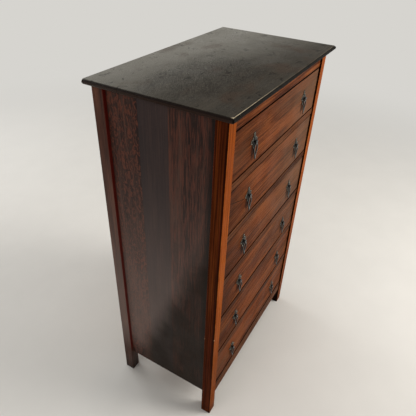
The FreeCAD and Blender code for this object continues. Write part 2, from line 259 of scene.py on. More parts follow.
# How often each part of the figure repeats in a metre, along and across the grain
tone_scale = (1.4, 11)
streak_scale = (2.2, 115)
fine_scale = (7, 330)
band_scale = (0.16, 1.0)
pore_scale = (55, 1100)
ray_scale = (85, 26)
ray_bend_scale = (7, 16)
ray_bend = 9
pore_range = (0.56, 0.70)
ray_range = (0.55, 0.72)

# The share of the tone and the streaks together, and how far values swing from dark to light
tone_and_streaks = 0.78
colour_spread = 0.17

# Wear at the edges, as shares of a finish's own width
least_wear, most_wear = 0.15, 1.6

# Gloss and relief
glossier, duller = 0.05, 0.09
pore_dullness = 0.12
streak_height = 0.5
pore_height = -0.6
wood_relief = 0.25 * mm


class Finish:
    """How one kind of board looks: its colours, figure, pores, rays, wear and gloss."""

    def __init__(self, dark, middle, light, worn, roughness, figure, pores, wear, contrast, specular,
                 rays=0.0, wear_width=1.6 * mm, streaks=0.36, fine=0.4):
        self.dark = painted(*dark)
        self.middle = painted(*middle)
        self.light = painted(*light)
        self.worn = painted(*worn)
        self.roughness = roughness
        self.figure = figure
        self.pores = pores
        self.rays = rays
        self.wear = wear
        self.wear_width = wear_width
        self.contrast = contrast
        self.streaks = streaks
        self.fine = fine
        self.specular = specular


def edge_distance(graph, low, high):
    """How far a point on a board's surface is from the board's nearest edge."""
    gaps = []
    for axis in range(3):
        from_low = graph.away(graph.place[axis], low[axis])
        from_high = graph.away(graph.place[axis], high[axis])
        gaps.append(graph.math("MINIMUM", from_low, from_high))
    smaller = graph.math("MINIMUM", gaps[0], gaps[1])
    larger = graph.math("MAXIMUM", gaps[0], gaps[1])
    return graph.math("MAXIMUM", smaller, graph.math("MINIMUM", larger, gaps[2]))


def wood(name, finish, grain, low, high, seed, extra=None):
    """Sawn wood with its grain along one axis, worn at the edges of the box from low to high.

    The seed picks the place in the log, and extra adds what only one kind of board has.
    """
    graph = Graph(name)
    along = axis_numbers[grain]
    across, through = [axis for axis in range(3) if axis != along]
    log = [graph.add(graph.place[axis], seed * step)
           for axis, step in zip((along, across, through), board_steps)]

    def stretched(scales, bend=0.0):
        """The place in the log, with each axis stretched, and bent along the grain."""
        along_scale, across_scale = scales
        return graph.vector(graph.add(graph.times(log[0], along_scale), bend),
                            graph.times(log[1], across_scale), graph.times(log[2], across_scale))

    tone = graph.noise(stretched(tone_scale), detail=2)
    streaks = graph.noise(stretched(streak_scale), detail=5, roughness=0.62)
    fine = graph.noise(stretched(fine_scale), detail=4, roughness=0.65)
    bands = graph.node("ShaderNodeTexWave", {
        "Vector": stretched(band_scale), "Scale": 26.0, "Distortion": 9.0, "Detail": 3.0,
        "Detail Scale": 0.7}, bands_direction="Y")
    pores = graph.ramp(graph.noise(stretched(pore_scale), detail=1), *pore_range)
    value = graph.swing(tone, tone_and_streaks - finish.streaks)
    parts = ((streaks, finish.streaks), (fine, finish.fine), (bands.outputs["Fac"], finish.figure))
    for part, width in parts:
        value = graph.add(value, graph.swing(part, width))
    half_spread = colour_spread / finish.contrast
    colour = graph.colours(graph.ramp(value, -half_spread, half_spread),
                           (0.0, finish.dark), (0.5, finish.middle), (1.0, finish.light))
    if finish.rays:
        bend = graph.times(graph.noise(stretched(ray_bend_scale), detail=1), ray_bend)
        rays = graph.ramp(graph.noise(stretched(ray_scale, bend), detail=2), *ray_range)
        colour = graph.tinted(colour, finish.light, rays, finish.rays)
    colour = graph.shaded(colour, pores, finish.pores)
    patchy = graph.noise(graph.point, scale=38)
    reach = graph.times(graph.ramp(patchy, 0.35, 0.7, least_wear, most_wear), finish.wear_width)
    worn = graph.near(edge_distance(graph, low, high), reach, 0.4)
    colour = graph.tinted(colour, finish.worn, worn, finish.wear)
    if extra:
        colour = extra(graph, colour)
    gloss = graph.noise(graph.point, scale=14, detail=4)
    roughness = graph.ramp(gloss, 0.3, 0.7, finish.roughness - glossier, finish.roughness + duller)
    roughness = graph.add(roughness, graph.times(pores, pore_dullness))
    roughness = graph.add(roughness, graph.dullness)
    height = graph.add(graph.times(streaks, streak_height), graph.times(pores, pore_height))
    graph.bump(graph.add(height, graph.relief), wood_relief, 0.6)
    return graph.finish(colour, roughness, specular=finish.specular)


def dress(node, material):
    """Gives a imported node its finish."""
    slots = nodes[node].data.materials
    slots.clear()
    slots.append(material)


# Finishes, in screen colours

top_finish = Finish((30, 25, 20), (46, 40, 32), (64, 56, 46), (90, 78, 62), 0.42, figure=0.06,
                    pores=0.3, wear=0.1, wear_width=2.2 * mm, contrast=0.7, streaks=0.3, fine=0.3,
                    specular=0.04)
panel_finish = Finish((36, 23, 20), (61, 42, 36), (86, 60, 50), (104, 66, 50), 0.40, figure=0.08,
                      pores=0.35, rays=0.2, wear=0.1, contrast=0.9, fine=0.6, specular=0.1)
post_finish = Finish((104, 46, 12), (138, 66, 18), (166, 90, 32), (184, 106, 42), 0.42, figure=0.08,
                     pores=0.3, wear=0.4, wear_width=2.4 * mm, contrast=0.7, specular=0.012)
back_post_finish = Finish((52, 28, 20), (80, 47, 35), (104, 64, 48), (122, 74, 54), 0.40, figure=0.1,
                          pores=0.3, wear=0.2, contrast=0.9, fine=0.6, specular=0.12)
front_finish = Finish((44, 18, 7), (92, 46, 22), (126, 72, 38), (132, 78, 44), 0.42, figure=0.08,
                      pores=0.5, wear=0.15, contrast=0.85, streaks=0.46, fine=0.8, specular=0.012)
rail_finish = Finish((38, 17, 8), (72, 39, 21), (100, 60, 35), (116, 70, 40), 0.42, figure=0.08,
                     pores=0.5, wear=0.15, contrast=0.85, streaks=0.46, fine=0.8, specular=0.012)
lining_finish = Finish((120, 86, 52), (164, 124, 80), (190, 152, 106), (200, 166, 124), 0.62,
                       figure=0.12, pores=0.35, wear=0.3, contrast=0.7, specular=0.3)
inner_finish = Finish((104, 76, 46), (142, 106, 68), (170, 134, 92), (184, 150, 110), 0.68,
                      figure=0.14, pores=0.2, wear=0.25, contrast=0.75, specular=0.25)
ply_finish = Finish((108, 76, 44), (140, 102, 62), (164, 124, 80), (176, 140, 98), 0.6, figure=0.1,
                    pores=0.12, wear=0.2, contrast=0.8, specular=0.3)


# Top board

# Its painted sheen, a painted reflection, grows from front to back, and a little from left to right
top_painted_sheen = painted(134, 131, 122)
sheen_lean = 0.2
sheen_ragged = 0.1
sheen_range = (-0.2, 0.25)
sheen_shares = (0.08, 0.85)
dull_range = (-0.2, 0.22)
dull_front, dull_back = 0.16, -0.12
top_patch = painted(66, 48, 36)

# Its varnish has crazed into cells, most of all in a patch left of the middle, and the cells' middles
# carry a painted highlight
cells_across, cells_deep = 38, 62
bend_across, bend_deep = 5.0, 4.2
crazed_x, crazed_y = -0.19, -0.02
crazed_half_width, crazed_half_depth = 0.25, 0.14
crazed_ragged = 1.6
craze_lines = (0.02, 0.2)
craze_islands = (0.3, 0.5)
island_painted_highlight = painted(118, 114, 104)
craze_height = -7.0
dent_height = -6.0

# Its moulded edge, with distances from its upper or its lower face
arris_inset = 5.5 * mm
edge_brown = painted(46, 31, 25)
edge_sheen = painted(74, 80, 82)
bare_edge = painted(200, 184, 154)
face_blend = 1 * mm
edge_shade_start, edge_shade_end = 7 * mm, 4 * mm
edge_sheen_start, edge_sheen_end = 4 * mm, 8 * mm
bare_line_thin, bare_line_thick = 0.2 * mm, 0.9 * mm
bare_line_drop = 1.4 * mm
bare_line_blend = 0.4 * mm
bare_line_end = -0.05
bare_corner = (2 * mm, 9 * mm)


def aged_top(graph, colour):
    """Near black varnish, duller in front with a painted sheen at the back, crazed with painted highlights
    on the cells, and dented.
    """
    x, y = graph.place[:2]
    back = graph.add(y, graph.times(x, sheen_lean))
    cloud = graph.noise(graph.scaled(5, 8, 1), detail=4, roughness=0.6, distortion=0.5)
    top_sheen_place = graph.add(back, graph.swing(cloud, sheen_ragged))
    # Painted sheen: a lighter tone towards the back, standing in for a reflection
    colour = graph.mix(graph.ramp(top_sheen_place, *sheen_range, *sheen_shares), colour, top_painted_sheen)
    patches = graph.noise(graph.scaled(5.5, 8.5, 1), scale=1.3, detail=4)
    colour = graph.tinted(colour, top_patch, graph.ramp(patches, 0.52, 0.66), 0.4)
    bent = graph.noise(graph.scaled(24, 30, 1), detail=3, roughness=0.6)
    cells = graph.node("ShaderNodeTexVoronoi", {
        "Vector": graph.vector(graph.add(graph.times(x, cells_across), graph.times(bent, bend_across)),
                               graph.add(graph.times(y, cells_deep), graph.times(bent, bend_deep)), 0.0)},
        feature="DISTANCE_TO_EDGE")
    from_edge = cells.outputs["Distance"]
    apart = graph.ellipse(graph.less(x, crazed_x), graph.less(y, crazed_y),
                          crazed_half_width, crazed_half_depth)
    inside = graph.ramp(graph.add(apart, graph.swing(cloud, crazed_ragged)), 0.4, 1.25, 1.0, 0.2)
    crazed = graph.times(graph.fall(from_edge, *craze_lines), inside)
    islands = graph.times(graph.ramp(from_edge, *craze_islands), inside)
    # Painted highlight on the middles of the crazed cells
    colour = graph.tinted(colour, island_painted_highlight, islands, 0.6)
    colour = graph.shaded(colour, crazed, 0.62)
    dents = graph.ramp(graph.noise(graph.scaled(34, 52, 1), detail=3, distortion=0.8), 0.6, 0.7)
    colour = graph.shaded(colour, dents, 0.55)
    graph.relief = graph.add(graph.times(crazed, craze_height), graph.times(dents, dent_height))
    graph.dullness = graph.ramp(back, *dull_range, dull_front, dull_back)
    return edged_top(graph, colour)


def edged_top(graph, colour):
    """The moulded edge: near black in front with a painted sheen low down, brown at the sides with painted
    shade below the arris, and a bare line on the front arris.
    """
    x, y, z = graph.place
    front_arris = top_low.y + arris_inset
    left_arris = top_low.x + arris_inset
    right_arris = top_high.x - arris_inset
    in_front = graph.fall(y, front_arris - face_blend, front_arris)
    at_side = graph.ramp(graph.absolute(x), right_arris, right_arris + face_blend)
    upper = graph.ramp(z, top_high.z - edge_shade_start, top_high.z - edge_shade_end)
    lower = graph.fall(z, top_low.z + edge_sheen_start, top_low.z + edge_sheen_end)
    colour = graph.tinted(colour, edge_brown, at_side, 0.9)
    # Painted shade in a band below the side arris
    colour = graph.shaded(colour, graph.times(at_side, upper), 0.6)
    colour = graph.shaded(colour, in_front, 0.85)
    # Painted sheen on the lower part of the front edge
    colour = graph.tinted(colour, edge_sheen, graph.times(in_front, lower), 0.5)
    ragged = graph.noise(graph.point, scale=60)
    thickness = graph.ramp(ragged, 0.3, 0.6, bare_line_thin, bare_line_thick)
    from_front = graph.away(y, front_arris)
    line = graph.near(from_front, thickness, 0.5)
    fading = graph.ramp(x, top_low.x, bare_line_end, 0.9, 0.1)
    line_foot = top_high.z - bare_line_drop
    above = graph.ramp(z, line_foot, line_foot + bare_line_blend)
    colour = graph.tinted(colour, bare_edge, graph.times(line, above), fading)
    from_corner = graph.add(graph.away(x, left_arris), from_front)
    return graph.tinted(colour, bare_edge, graph.fall(from_corner, *bare_corner), above)


# Sides

# The boards of a panel, measured back from the front post
front_board_width = 141 * mm
middle_board_width = 97 * mm
front_board_tone = painted(100, 56, 43)
# The middle board's grey tone is partly a painted sheen
middle_board_tone_and_sheen = painted(60, 51, 51)
back_board_tone = painted(108, 60, 45)
seam_sway = 3 * mm
seam_half_width = 1 * mm
# Painted shade on the panel just behind the front post
corner_painted_shade = (8 * mm, 34 * mm)

# A painted sheen, standing in for a reflection, above a line that falls towards the back, with painted
# shade below it
side_painted_sheen = painted(200, 180, 170)
low_painted_shade = painted(27, 18, 9)
low_shade_shares = (0.88, 0.62)
side_sheen_height = 0.45
side_sheen_slope = 2.5
side_sheen_ragged = 0.16
side_sheen_edge = (-0.10, 0.14)
side_sheen_foot = (0.12, 0.26)
side_sheen_head = (0.34, 1.15)
side_sheen_share = 0.17


def sheened_and_shaded(graph, colour):
    """A painted sheen low down at the back, and painted shade in front of the line where it ends."""
    y, z = graph.place[1:]
    line = graph.add(graph.times(y, -side_sheen_slope), side_sheen_height)
    wavy = graph.noise(graph.scaled(4, 7, 5), detail=4, distortion=0.6)
    over = graph.add(graph.less(z, line), graph.swing(wavy, side_sheen_ragged))
    above = graph.ramp(over, *side_sheen_edge)
    low_shade_share = graph.ramp(graph.ramp(wavy, 0.42, 0.62), 0, 1, *low_shade_shares)
    # Painted shade below the line
    colour = graph.tinted(colour, low_painted_shade, graph.rest(above), low_shade_share)
    low = graph.band(z, side_sheen_foot, side_sheen_head)
    # Painted sheen above the line, low down
    return graph.tinted(colour, side_painted_sheen, graph.times(above, low), side_sheen_share)


def three_boards(graph, colour):
    """Three boards edge to edge, each with its own tone, and painted shade beside the front post."""
    sway = graph.swing(graph.noise(graph.scaled(1, 1, 3), detail=1), seam_sway)
    behind = graph.add(graph.add(graph.place[1], -post_high.y), sway)
    first_seam = front_board_width
    second_seam = front_board_width + middle_board_width
    in_front = graph.fall(behind, first_seam - seam_half_width, first_seam + seam_half_width)
    at_back = graph.ramp(behind, second_seam - seam_half_width, second_seam + seam_half_width)
    between = graph.less(graph.rest(in_front), at_back)
    streak = graph.noise(graph.scaled(1, 230, 16), detail=4, roughness=0.65, distortion=0.3)
    curl = graph.noise(graph.scaled(1, 110, 46), detail=4, roughness=0.6, distortion=1.6)
    front_share = graph.times(in_front, graph.ramp(streak, 0.46, 0.6))
    back_share = graph.times(at_back, graph.ramp(curl, 0.47, 0.6))
    colour = graph.tinted(colour, middle_board_tone_and_sheen, between, 0.6)
    colour = graph.tinted(colour, front_board_tone, front_share, 0.7)
    colour = graph.tinted(colour, back_board_tone, back_share, 0.72)
    # Painted shade beside the front post
    colour = graph.shaded(colour, graph.fall(behind, *corner_painted_shade), 0.72)
    return sheened_and_shaded(graph, colour)


# Posts

post_dark_streak = painted(30, 8, 4)
post_bright_streak = painted(104, 40, 22)
post_edge_line = painted(24, 5, 3)
post_side_tone_and_shade = painted(58, 18, 9)
return_red = painted(100, 20, 12)
gap_painted_shade = painted(26, 15, 9)
inner_face = abs(post_high.x)
inner_face_range = (inner_face + 0.4 * mm, inner_face + 1.4 * mm)
edge_line_start = (1.6 * mm, 2.4 * mm)
edge_line_end = (4.0 * mm, 7.0 * mm)
shaded_foot = (0.15, 0.7)
scuffed_foot = (5 * mm, 60 * mm)
beside_panel_rise = 50 * mm

# Small chips on the arrises of the left front post, as (y, z) of each
chip_places = [(post_low.y, 0.457), (post_high.y, 0.442)]
chip_radius = 2.6 * mm
chip_ragged = 3 * mm
chip_stretch = 0.6
chip_tone = painted(196, 150, 108)


def scuffed_feet(graph, colour):
    scuffs = graph.ramp(graph.noise(graph.scaled(90, 90, 40), detail=4), 0.4, 0.6)
    return graph.shaded(colour, graph.times(graph.fall(graph.place[2], *scuffed_foot), scuffs), 0.7)


def streaked_sides(graph, colour):
    """Upright streaks, a darker tone that is partly painted shade, and a dark line on the faces that look
    left and right, and painted shade on the inner faces.
    """
    x, y, z = graph.place
    sideways = graph.ramp(graph.absolute(graph.facing[0]), 0.6, 0.8)
    dark = graph.ramp(graph.noise(graph.scaled(1, 400, 2.5), detail=4, roughness=0.6), 0.44, 0.58)
    bright = graph.ramp(graph.noise(graph.scaled(0, 430, 4), detail=3), 0.54, 0.64)
    # A darker tone on the faces that look left and right: partly the wood's own, partly painted shade
    colour = graph.tinted(colour, post_side_tone_and_shade, sideways, 0.62)
    in_front = graph.times(graph.rest(sideways), graph.fall(z, *shaded_foot))
    colour = graph.shaded(colour, in_front, 0.38)
    colour = graph.tinted(colour, post_dark_streak, graph.times(dark, sideways), 0.8)
    colour = graph.tinted(colour, post_bright_streak, graph.times(bright, sideways), 0.6)
    beside_arris = graph.band(graph.add(y, -post_low.y), edge_line_start, edge_line_end)
    colour = graph.tinted(colour, post_edge_line, graph.times(beside_arris, sideways), 0.8)
    inside = graph.fall(graph.absolute(x), *inner_face_range)
    # Painted shade on the posts' inner faces beside the drawers
    colour = graph.tinted(colour, gap_painted_shade, inside, 0.9)
    return scuffed_feet(graph, colour)


def chipped_post(graph, colour):
    """The streaked post with two pale chips on its arrises."""
    colour = streaked_sides(graph, colour)
    x, y, z = graph.place
    ragged = graph.swing(graph.noise(graph.point, scale=300, detail=2), chip_ragged)
    for chip_y, chip_z in chip_places:
        up = graph.times(graph.add(z, -chip_z), chip_stretch)
        apart = graph.length(graph.add(y, -chip_y), up, graph.add(x, -post_low.x))
        chip = graph.near(graph.add(apart, ragged), chip_radius, 0.6)
        colour = graph.mix(chip, colour, chip_tone)
    return colour


def sheened_back_post(graph, colour):
    """The side's painted sheen and painted shade, and a deep red on the narrow face that looks forwards
    beside the panel.
    """
    beside_panel = graph.ramp(graph.place[2], panel_low.z, panel_low.z + beside_panel_rise)
    forwards = graph.times(graph.fall(graph.facing[1], -0.75, -0.5), beside_panel)
    colour = graph.tinted(sheened_and_shaded(graph, colour), return_red, forwards, 0.85)
    return scuffed_feet(graph, colour)


# Drawer fronts, and the boards beside them

olive_patch = painted(70, 48, 32)
orange_patch = painted(122, 58, 24)
front_painted_sheen = painted(106, 84, 66)
front_sheen_across = (-0.16, 0.33)
front_sheen_up = (0.35, 0.9)
left_shade = (-0.34, -0.08)
dark_end = (-0.32, -0.2)
dark_end_drawers = (2, 3, 4)
patch_scale = (3.2, 17)
patch_step = 5.3
gap_shade_width = 2.6 * mm
handle_half_width = 12 * mm
handle_dirt_and_shade_drop = 22 * mm
handle_dirt_and_shade_half_height = 30 * mm

# The crack in one drawer's front, which climbs outwards from beside its left handle
crack_drawer = 2
crack_start = 26 * mm
crack_drop = 3 * mm
crack_slope = 0.37
crack_wander = 6 * mm
crack_half_width = 1.6 * mm
crack_end_blend = (-4 * mm, -2 * mm)


def gap_shaded(graph, colour, low, high):
    """Painted shade in the gaps: on the faces that look up, down and sideways, and along the long front
    edges.
    """
    z = graph.place[2]
    hidden = graph.math("MAXIMUM", graph.absolute(graph.facing[2]), graph.absolute(graph.facing[0]))
    # Painted shade on the faces inside the gaps
    colour = graph.tinted(colour, gap_painted_shade, graph.ramp(hidden, 0.7, 0.9), 0.9)
    from_edge = graph.math("MINIMUM", graph.away(z, low.z), graph.away(z, high.z))
    ragged = graph.noise(graph.point, scale=22)
    width = graph.ramp(ragged, 0.3, 0.7, 0.5 * gap_shade_width, 1.5 * gap_shade_width)
    # Painted shade along the long front edges
    return graph.shaded(colour, graph.near(from_edge, width, 0.3), 0.74)


def gap_shaded_board(node):
    """Painted gap shade for a board that stands beside the drawers."""
    low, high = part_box(node)
    return lambda graph, colour: gap_shaded(graph, colour, low, high)


def gap_shaded_dividers(graph, colour):
    """Painted gap shade for the dividers, whose own edges lie too close for a line along them."""
    hidden = graph.ramp(graph.absolute(graph.facing[2]), 0.7, 0.9)
    return graph.tinted(colour, gap_painted_shade, hidden, 0.9)


def round_handle(graph, pivot, drop, half_height):
    """How far out a place lies from a point below either handle's pivot: 1 on an ellipse round it."""
    across = graph.less(graph.absolute(graph.place[0]), abs(pivot.x))
    up = graph.add(graph.place[2], drop - pivot.z)
    return graph.ellipse(across, up, handle_half_width, half_height)


def cracked(graph, colour, pivot):
    """A dark crack that climbs outwards from beside a left handle's pivot."""
    outwards = graph.less(pivot.x - crack_start, graph.place[0])
    wander = graph.swing(graph.noise(graph.scaled(55, 1, 1), detail=3), crack_wander)
    climb = graph.add(graph.times(outwards, crack_slope), pivot.z - crack_drop)
    from_crack = graph.away(graph.place[2], graph.add(climb, wander))
    line = graph.near(from_crack, crack_half_width, 0.4)
    return graph.shaded(colour, graph.times(line, graph.ramp(outwards, *crack_end_blend)), 0.9)


def handled_front(number):
    """Patchy varnish, darker at the left, with a painted sheen at the upper right, and darkening round the
    handles that is dirt and painted shade.
    """
    left = pivots[f"drawer_{number}_loop_left"]
    low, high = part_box(f"drawer_{number}_front")

    def extra(graph, colour):
        x, z = graph.place[0], graph.place[2]
        patches = graph.noise(graph.vector(graph.add(graph.times(x, patch_scale[0]), number * patch_step),
                                           graph.times(z, patch_scale[1]), 0.0), detail=4, distortion=0.5)
        colour = graph.tinted(colour, orange_patch, graph.ramp(patches, 0.5, 0.68), 0.38)
        colour = graph.tinted(colour, olive_patch, graph.ramp(patches, 0.48, 0.32), 0.42)
        colour = graph.shaded(colour, graph.fall(x, *left_shade), 0.28)
        if number in dark_end_drawers:
            colour = graph.shaded(colour, graph.fall(x, *dark_end), 0.35)
        # Painted sheen towards the upper right, standing in for a reflection
        blended = graph.times(graph.ramp(x, *front_sheen_across), graph.ramp(z, *front_sheen_up))
        colour = graph.tinted(colour, front_painted_sheen, blended, 0.5)
        # Darkening round the handles: dirt, and painted shade under the plate and loop
        reach = round_handle(graph, left, handle_dirt_and_shade_drop, handle_dirt_and_shade_half_height)
        colour = graph.shaded(colour, graph.fall(reach, 0.5, 1.35), 0.72)
        if number == crack_drawer:
            colour = cracked(graph, colour, left)
        return gap_shaded(graph, colour, low, high)

    return extra


def dress_boards():
    plan = [
        ("top_board", top_finish, "X", aged_top),
        ("top_rail", front_finish, "X", gap_shaded_board("top_rail")),
        ("bottom_rail", rail_finish, "X", gap_shaded_board("bottom_rail")),
        ("drawer_dividers", rail_finish, "X", gap_shaded_dividers),
        ("side_panel_left", panel_finish, "Z", three_boards),
        ("side_panel_right", panel_finish, "Z", three_boards),
        ("front_post_left", post_finish, "Z", chipped_post),
        ("front_post_right", post_finish, "Z", streaked_sides),
        ("back_post_left", back_post_finish, "Z", sheened_back_post),
        ("back_post_right", back_post_finish, "Z", sheened_back_post),
        ("back_panel", ply_finish, "Z", None),
        ("back_rails", inner_finish, "X", None),
        ("bottom_side_rails", inner_finish, "Y", None),
        ("drawer_runners", inner_finish, "Y", None),
        ("drawer_guides", inner_finish, "Y", None),
        ("drawer_stops", inner_finish, "X", None),
        ("top_cleats", inner_finish, "Y", None),
    ]
    for number in drawer_numbers:
        plan += [
            (f"drawer_{number}_front", front_finish, "X", handled_front(number)),
            (f"drawer_{number}_sides", lining_finish, "Y", None),
            (f"drawer_{number}_back", lining_finish, "X", None),
            (f"drawer_{number}_bottom", ply_finish, "X", None),
        ]
    for seed, (node, finish, grain, extra) in enumerate(plan, 1):
        low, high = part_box(node)
        dress(node, wood(node, finish, grain, low, high, seed, extra))


# Metal

bright_metal = painted(134, 128, 112)
worn_metal = painted(104, 108, 108)
dull_metal = painted(36, 33, 27)
stained_metal = painted(20, 18, 14)
black_patina_and_shade = painted(8, 8, 7)
steel_grey = painted(118, 116, 112)
rust_brown = painted(84, 54, 36)
rubbed_ragged = 1.6 * mm
black_core_drop = 16 * mm
black_core_half_height = 20 * mm

# What stands out this far from the drawer's face is rubbed: from the first distance to all at the second
rubbed_beads = (0.6 * mm, 1.3 * mm)
rubbed_plates = (2.4 * mm, 6.0 * mm)
rubbed_loops = (7.2 * mm, 11.0 * mm)


def aged_brass(name, rubbed_range, rubbed_tone, pivot=None):
    """Dark oxidised metal, rubbed where it stands out, and black round a handle's pivot: patina, with
    painted shade behind the loop.
    """
    graph = Graph(name)
    cast = graph.noise(graph.point, scale=420, detail=4)
    stain = graph.noise(graph.point, scale=150)
    out = graph.less(drawer_face, graph.place[1])
    rubbed = graph.ramp(graph.add(out, graph.swing(cast, rubbed_ragged)), *rubbed_range)
    dull = graph.mix(graph.ramp(stain, 0.35, 0.65), stained_metal, dull_metal)
    colour = graph.mix(rubbed, dull, rubbed_tone)
    if pivot is not None:
        reach = round_handle(graph, pivot, black_core_drop, black_core_half_height)
        # Black round the pivot: patina, with painted shade behind the loop
        colour = graph.mix(graph.fall(reach, 0.95, 1.3), colour, black_patina_and_shade)
    graph.bump(cast, 0.3 * mm, 0.5)
    return graph.finish(colour, graph.ramp(rubbed, 0, 1, 0.5, 0.32), metallic=0.75)


def steel(name):
    graph = Graph(name)
    rust = graph.ramp(graph.noise(graph.point, scale=260, detail=4), 0.5, 0.7)
    graph.bump(graph.noise(graph.point, scale=700, detail=2), 0.1 * mm, 0.4)
    return graph.finish(graph.mix(rust, steel_grey, rust_brown), graph.ramp(rust, 0, 1, 0.4, 0.75),
                        metallic=0.8)


# Mesh helpers

# Faces that meet at more degrees than this keep a hard edge
sharp_angle = 42


def skin(shape, rings, closed):
    """Joins rings of points with quads, and caps both ends or joins the last ring to the first."""
    rows = [[shape.verts.new(point) for point in ring] for ring in rings]
    pairs = list(zip(rows, rows[1:]))
    if closed:
        pairs.append((rows[-1], rows[0]))
    else:
        shape.faces.new(rows[0])
        shape.faces.new(rows[-1])
    for near, far in pairs:
        for index, point in enumerate(near):
            following = (index + 1) % len(near)
            shape.faces.new((point, near[following], far[following], far[index]))


def even_turns(count):
    """Angles that divide a whole turn evenly."""
    return [2 * math.pi * index / count for index in range(count)]


def circle(radius, place, count):
    """A ring of points round a middle, put in space by place(a, b)."""
    return [place(radius * math.cos(turn), radius * math.sin(turn)) for turn in even_turns(count)]


def turned(profile, place, count):
    """Rings of a turned shape, from (radius, distance) steps along its axis."""
    return [circle(radius, lambda a, b, d=distance: place(a, b, d), count)
            for radius, distance in profile]


def arc(start, middle, end, count):
    """Points along the arc from start through middle, up to but without end, as (x, z) pairs."""
    first, second, third = complex(*start), complex(*middle), complex(*end)
    ratio = (third - first) / (second - first)
    centre = first + (second - first) * (ratio - abs(ratio) ** 2) / (2j * ratio.imag)
    spoke = first - centre
    through, whole = (cmath.phase((point - centre) / spoke) for point in (second, third))
    if not 0 <= through / whole <= 1:
        whole -= math.copysign(2 * math.pi, whole)
    points = [centre + spoke * cmath.rect(1, whole * index / count) for index in range(count)]
    return [(point.real, point.imag) for point in points]


def add_piece(name, parts, at, material, body):
    """Makes one mesh from (rings, closed) parts drawn about a place, and lets it ride on a body."""
    shape = bmesh.new()
    for rings, closed in parts:
        skin(shape, rings, closed)
    bmesh.ops.recalc_face_normals(shape, faces=shape.faces)
    bmesh.ops.translate(shape, verts=shape.verts, vec=at)
    mesh = bpy.data.meshes.new(name)
    shape.to_mesh(mesh)
    shape.free()
    mesh.polygons.foreach_set("use_smooth", [True] * len(mesh.polygons))
    mesh.set_sharp_from_angle(angle=math.radians(sharp_angle))
    mesh.materials.append(material)
    piece = bpy.data.objects.new(name, mesh)
    bpy.context.scene.collection.objects.link(piece)
    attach(piece, body)
    return piece


# Handles, drawn about their pivot, with the drawer's face behind it

pivot_reach = drawer_face - pivots["drawer_1_loop_left"].y
plate_height = 52 * mm
plate_width = 43 * mm
tip_lobe_reach = 8.0 * mm
side_lobe_reach = 5.5 * mm
lobe_half = 5.8 * mm
waist_pull = 1.2 * mm
bead_radius = 0.85 * mm
bead_pitch = 2.7 * mm
bead_line = 0.87
groove_height = 0.9 * mm
front_thickness = 20 * mm
nut_height = 3.5 * mm
nut_half = 4.75 * mm
nut_chamfer = 0.5 * mm
nut_end_share = 0.86
nut_corner_cut = 0.7 * mm
shank_radius = 2.1 * mm
shank_beyond_nut = 2 * mm
thread_length = 7 * mm
thread_pitch = 0.7 * mm
thread_depth = 0.3 * mm
collar_foot = 2.9 * mm
bore_radius = 1.3 * mm
pin_radius = 1.25 * mm
pin_beyond_cheek = 0.5 * mm
eye_radius = 3.3 * mm
eye_half_width = 1.6 * mm
cheek_inside = 1.9 * mm
cheek_outside = 4.4 * mm
cheek_foot = 8.2 * mm
cheek_half_foot = 2.0 * mm
loop_widest = 21 * mm
loop_half_thickness = 2.0 * mm

# How many steps each curve is drawn with
lobe_steps = 12
shoulder_steps = 12
taper_steps = 14
section_steps = 14
cheek_steps = 12
eye_steps = 28
bead_steps = 8
shank_steps = 20
pin_steps = 16
finial_steps = 18

# The plate from its rim inwards, as (share of its outline, height above the drawer's face)
plate_profile = [
    (1.0, 0.0), (1.0, 0.9 * mm), (0.985, 1.2 * mm), (0.96, 1.35 * mm), (0.935, 1.2 * mm),
    (0.92, groove_height), (0.83, groove_height), (0.81, 1.2 * mm), (0.78, 1.4 * mm), (0.70, 1.72 * mm),
    (0.58, 2.3 * mm), (0.46, 2.8 * mm), (0.38, 3.0 * mm), (0.2, 3.0 * mm),
]

# A bead, as (radius, height above the groove)
bead_profile = [
    (bead_radius, -0.2 * mm), (bead_radius, 0.1 * mm), (0.8 * bead_radius, 0.5 * mm),
    (0.45 * bead_radius, 0.75 * mm), (0.12 * bead_radius, 0.84 * mm),
]

# The bolt's collar and neck, as (radius, height above the drawer's face)
collar_profile = [
    (4.2 * mm, collar_foot), (4.2 * mm, 3.4 * mm), (3.7 * mm, 3.8 * mm), (2.5 * mm, 4.1 * mm),
    (1.9 * mm, 4.6 * mm), (1.7 * mm, 5.4 * mm), (1.2 * mm, 5.9 * mm),
]

# A cheek of the fork, as (share of its outline, distance from the middle)
cheek_profile = [
    (0.86, cheek_inside), (1.0, cheek_inside + 0.4 * mm), (1.0, cheek_outside - 0.6 * mm),
    (0.8, cheek_outside),
]

# The finial, as (radius, distance below the pivot)
finial_profile = [
    (1.4 * mm, 47 * mm), (1.7 * mm, 47.6 * mm), (2.2 * mm, 47.9 * mm), (2.2 * mm, 48.3 * mm),
    (1.5 * mm, 48.6 * mm), (2.2 * mm, 49.1 * mm), (2.6 * mm, 50.3 * mm), (2.2 * mm, 51.5 * mm),
    (1.5 * mm, 52.3 * mm), (1.35 * mm, 53.2 * mm), (1.15 * mm, 55.2 * mm), (0.8 * mm, 56.6 * mm),
    (0.3 * mm, 57.2 * mm),
]


